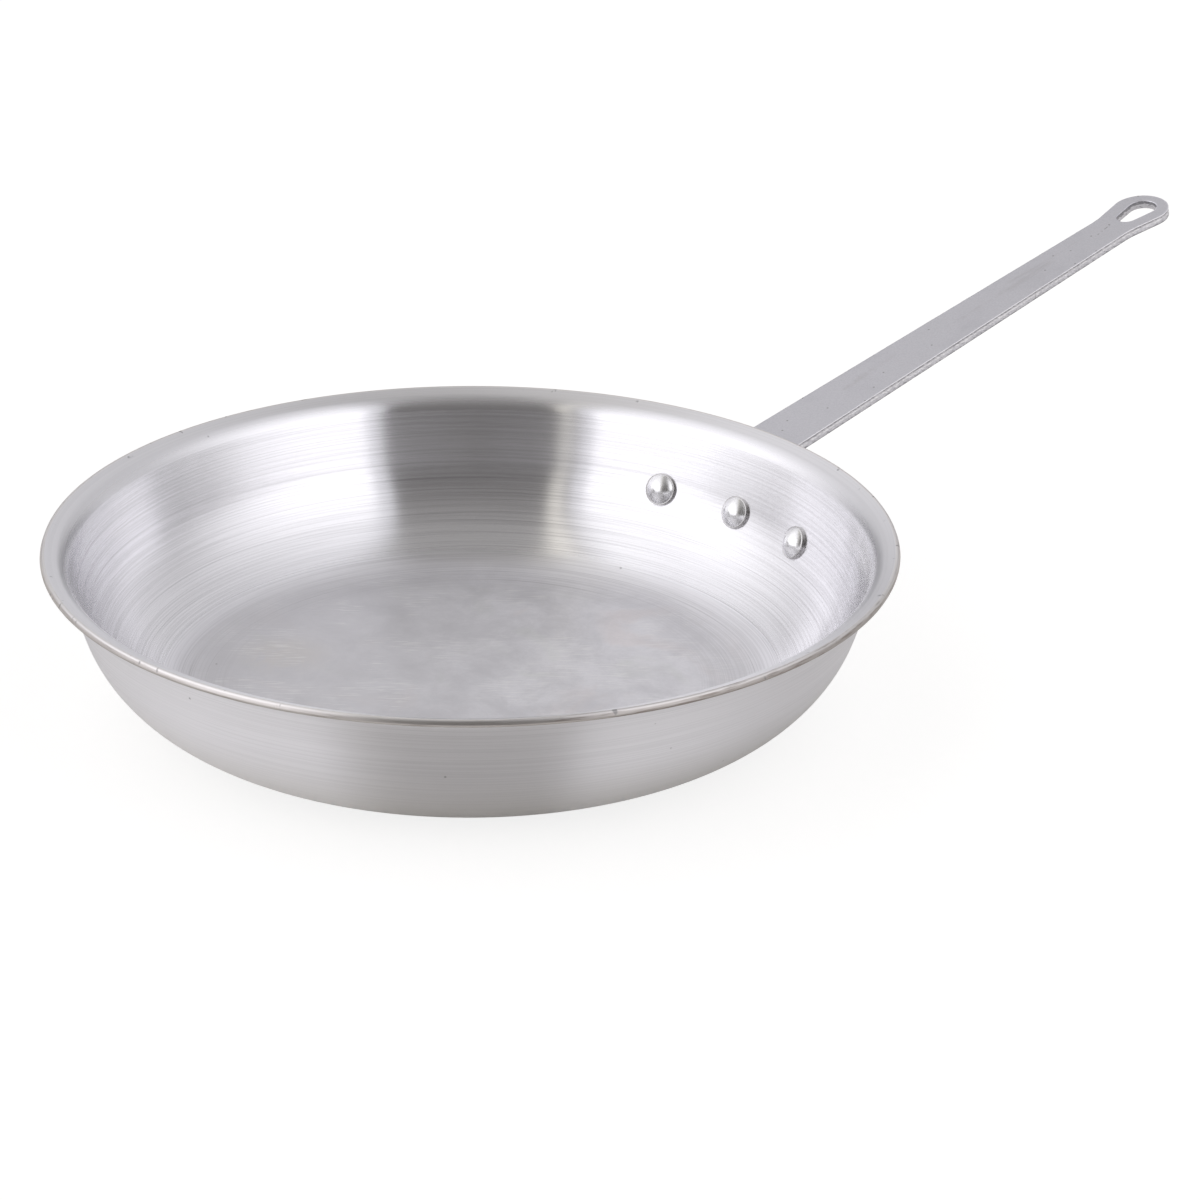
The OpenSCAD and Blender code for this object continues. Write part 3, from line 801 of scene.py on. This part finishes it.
# Rivets: three polished aluminium rivets with domed heads inside the pan, set from outside
# through the wall and the flange, so that each tail is pressed into a bevelled button.
HEAD_R = 7.2
HEAD_EDGE_H = 1.2
DOME_H = 3.6
BEAD_R = 0.3
SHANK_R = 3.2
TAIL_R = 5.5
TAIL_H = 2.6
TAIL_BEVEL = 1.1
SEAT_DEPTH = 0.6
RIVET_TURNS = 72
POLISHED = (0.86, 0.857, 0.862)
SCUFFED = (0.70, 0.69, 0.69)
SEAT_SHADE = (0.40, 0.385, 0.38)
stack_t = WALL_T + BAR_T
tail_seat = SEAT_DEPTH - stack_t
tail_end = -stack_t - TAIL_H
dome_reach = HEAD_R - 2 * BEAD_R
dome_h = DOME_H - BEAD_R
dome_r = (dome_reach ** 2 + dome_h ** 2) / (2 * dome_h)
dome = arc([0, HEAD_EDGE_H + DOME_H - dome_r], dome_r,
           QUARTER, QUARTER - math.asin(dome_reach / dome_r), 26)
rivet_section = np.concatenate([
    dome, arc([HEAD_R - BEAD_R, HEAD_EDGE_H + BEAD_R / 3], BEAD_R, 2.3, 0, 9),
    line([HEAD_R, HEAD_EDGE_H - 0.2], [HEAD_R, -SEAT_DEPTH], 3), [[HEAD_R, -SEAT_DEPTH]],
    line([HEAD_R, -SEAT_DEPTH], [SHANK_R, -SEAT_DEPTH], 2), [[SHANK_R, -SEAT_DEPTH]],
    line([SHANK_R, -SEAT_DEPTH], [SHANK_R, tail_seat], 5), [[SHANK_R, tail_seat]],
    line([SHANK_R, tail_seat], [TAIL_R, tail_seat], 2), [[TAIL_R, tail_seat]],
    line([TAIL_R, tail_seat], [TAIL_R, TAIL_BEVEL - stack_t - TAIL_H], 3),
    arc([TAIL_R - TAIL_BEVEL, TAIL_BEVEL - stack_t - TAIL_H], TAIL_BEVEL, 0, -QUARTER, 10),
    line([TAIL_R - TAIL_BEVEL, tail_end], [0, tail_end], 4), [[0, tail_end]]])
steps = np.linalg.norm(np.diff(rivet_section, axis=0), axis=1)
rivet_run = np.concatenate([[0], np.cumsum(steps)])
local_points, local_faces, local_run = lathe(rivet_section, RIVET_TURNS, rivet_run)

rivet_look = bpy.data.materials.new("polished_aluminium")
start = new_tree(rivet_look)
place = start.add("TexCoord", {}, {}, "Object")
from_top = start.add("Attribute", {"attribute_name": "across"}, {}, "Fac")
dents = cloud(260, 2, 0.5)
scuffs = cloud(900, 3, 0.6)
colour = (scuffs.step(0.5, 0.75) * 0.2).tint(POLISHED, SCUFFED)
# Painted shade round the edge of the head and down its side, where it meets the pan
colour = (from_top.step(0.0070, 0.0082) * 0.7).tint(colour, SEAT_SHADE)
roughness = scuffs.step(0.45, 0.8) * 0.12 + 0.25
bump = start.add("Bump", {}, {"Strength": 0.35, "Distance": 0.00005,
                              "Height": dents * 1.2 + scuffs * 0.1})
polished = start.add("BsdfPrincipled", {}, {
    "Base Color": colour, "Metallic": 1.0, "Roughness": roughness, "Normal": bump})
start.add("OutputMaterial", {}, {"Surface": polished})

for node, index in {"rivet_left": 1, "rivet_middle": 0, "rivet_right": -1}.items():
    turn = index * rivet_turn
    out_way = np.array([math.cos(turn), math.sin(turn), 0])
    side_way = np.array([-math.sin(turn), math.cos(turn), 0])
    into_pan = -math.cos(rivet_tilt) * out_way + [0, 0, math.sin(rivet_tilt)]
    up_wall = math.sin(rivet_tilt) * out_way + [0, 0, math.cos(rivet_tilt)]
    seat = (rivet_r * out_way + [0, 0, RIVET_H]) * MM
    points = seat + local_points @ np.array([up_wall, side_way, into_pan])
    rivet = mesh_object("set_" + node, points, local_faces, {"across": local_run})
    rivet.data.materials.append(rivet_look)
    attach(rivet, "root")
    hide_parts(node)
